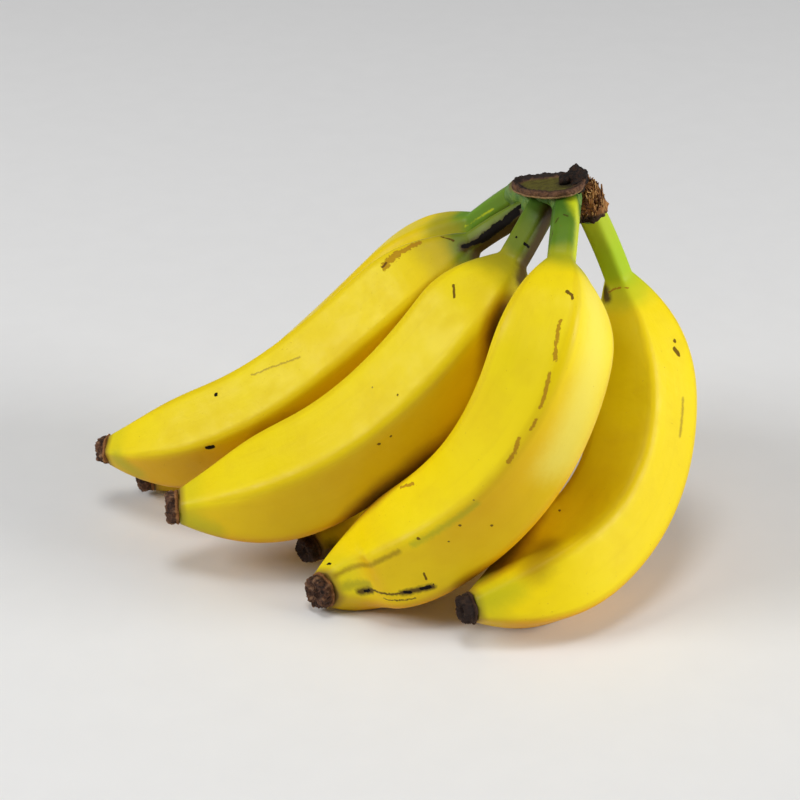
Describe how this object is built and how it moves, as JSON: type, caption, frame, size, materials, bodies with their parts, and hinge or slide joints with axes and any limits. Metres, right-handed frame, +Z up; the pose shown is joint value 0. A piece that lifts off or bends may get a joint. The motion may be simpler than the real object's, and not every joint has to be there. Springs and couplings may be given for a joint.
{
  "type": "bunch of bananas",
  "caption": "Bunch of ripe yellow bananas with green necks joined at a dried brown crown, resting on its fruit with the crown up.",
  "frame": {"origin": "on the surface the bunch rests on, under the middle of its bounding box", "axes": "+Z up, crown up; +X along the bunch's longest way, from the blossom ends towards the crown; +Y towards the back of the bunch"},
  "size_m": [0.2238, 0.1515, 0.1487],
  "materials": {
    "peel": "satin, waxy",
    "stalk": "dry, fibrous",
    "dried_flower": "dry, crumbly"
  },
  "bodies": {
    "root": {"crown": "stalk", "fruit_1": "peel", "fruit_2": "peel", "fruit_3": "peel", "fruit_4": "peel", "fruit_5": "peel", "fruit_6": "peel", "blossom_end_1": "dried_flower", "blossom_end_2": "dried_flower", "blossom_end_3": "dried_flower", "blossom_end_4": "dried_flower", "blossom_end_5": "dried_flower", "blossom_end_6": "dried_flower"}
  },
  "joints": []
}
